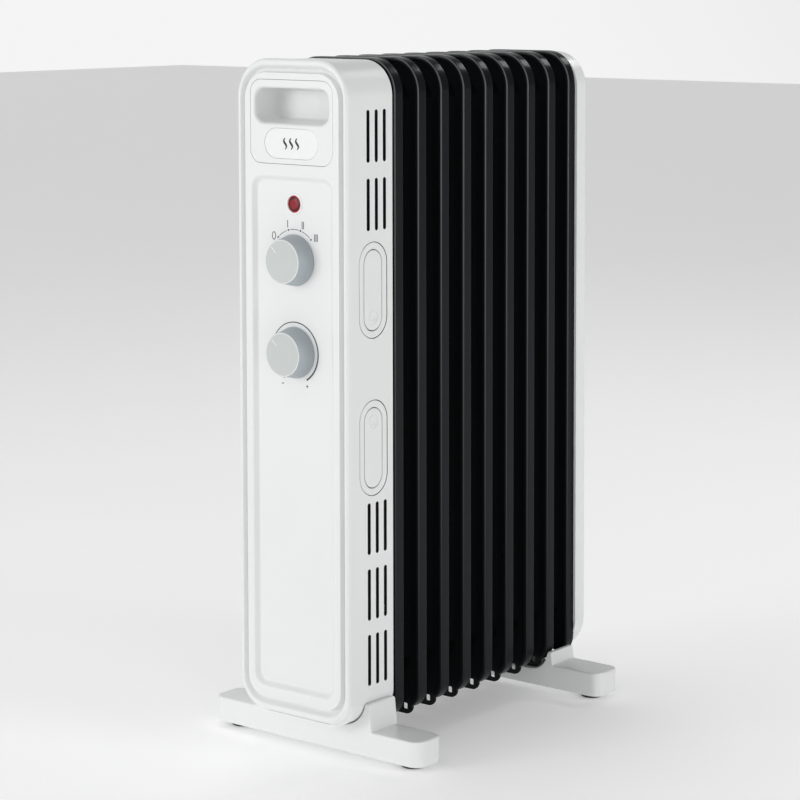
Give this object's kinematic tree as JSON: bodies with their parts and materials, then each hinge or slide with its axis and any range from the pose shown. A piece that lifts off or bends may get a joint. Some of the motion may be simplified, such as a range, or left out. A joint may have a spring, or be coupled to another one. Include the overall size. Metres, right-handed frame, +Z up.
{
  "type": "oil filled radiator heater",
  "caption": "Upright oil filled radiator with black ribbed sections, white control housing with two round knobs, flap cord hooks, rear cover and wide feet.",
  "frame": {"origin": "middle of the footprint on the floor", "axes": "+Z up, the control panel faces -Y, +X is the side with the cord hooks"},
  "size_m": [0.245, 0.3742, 0.6225],
  "materials": {
    "white_plastic": "satin moulded",
    "pale_plastic": "satin moulded",
    "red_lens": "clear red",
    "lamp_glass": "clear",
    "grey_plastic": "satin",
    "steel": "zinc plated",
    "zinc_sheet": "galvanised",
    "element_steel": "heat dulled",
    "dark_plastic": "moulded",
    "ceramic": "dull",
    "black_enamel": "gloss black",
    "brass": "plain",
    "lead_rubber": "matte",
    "black_rubber": "matte"
  },
  "bodies": {
    "radiator": {"front_panel": "white_plastic", "control_housing": "white_plastic", "handle_plate": "white_plastic", "badge_plate": "pale_plastic", "lamp_bezel": "pale_plastic", "lamp_lens": "red_lens", "neon_lamp": "lamp_glass", "heat_switch": "dark_plastic", "thermostat": "ceramic", "control_nuts": "steel", "upper_hook_cup": "white_plastic", "upper_hook_pin": "steel", "lower_hook_cup": "white_plastic", "lower_hook_pin": "steel", "fin_1": "black_enamel", "fin_2": "black_enamel", "fin_3": "black_enamel", "fin_4": "black_enamel", "fin_5": "black_enamel", "fin_6": "black_enamel", "fin_7": "black_enamel", "fin_8": "black_enamel", "fin_9": "black_enamel", "low_heating_element": "element_steel", "high_heating_element": "element_steel", "element_flange": "steel", "thermal_cutout": "dark_plastic", "rear_header_caps": "black_enamel", "filler_plug": "brass", "heat_shield": "zinc_sheet", "terminal_block": "ceramic", "internal_leads": "lead_rubber", "cord_gland": "black_rubber", "rear_cover": "white_plastic", "front_foot": "white_plastic", "rear_foot": "white_plastic", "rear_clamp": "steel", "wing_nuts": "steel", "panel_screws": "steel", "housing_screws": "steel", "front_foot_screws": "steel", "rear_cover_screws": "steel", "front_left_pad": "black_rubber", "front_right_pad": "black_rubber", "rear_left_pad": "black_rubber", "rear_right_pad": "black_rubber"},
    "heat_control": {"heat_knob": "grey_plastic", "heat_shaft": "steel"},
    "thermostat_control": {"thermostat_knob": "grey_plastic", "thermostat_shaft": "steel"},
    "upper_flap": {"upper_hook": "white_plastic"},
    "lower_flap": {"lower_hook": "white_plastic"}
  },
  "joints": [
    {"name": "heat_level", "type": "hinge", "parent": "radiator", "child": "heat_control", "pos_m": [0, -0.1739, 0.4453], "axis": [0, 1, 0], "range_deg": [0, 90]},
    {"name": "thermostat_setting", "type": "hinge", "parent": "radiator", "child": "thermostat_control", "pos_m": [0, -0.1739, 0.3632], "axis": [0, 1, 0], "range_deg": [-105, 195]},
    {"name": "upper_hook_swing", "type": "hinge", "parent": "radiator", "child": "upper_flap", "pos_m": [0.0595, -0.1365, 0.4024], "axis": [0, 1, 0], "range_deg": [0, 80]},
    {"name": "lower_hook_swing", "type": "hinge", "parent": "radiator", "child": "lower_flap", "pos_m": [0.0595, -0.1365, 0.2979], "axis": [0, -1, 0], "range_deg": [0, 80]}
  ]
}
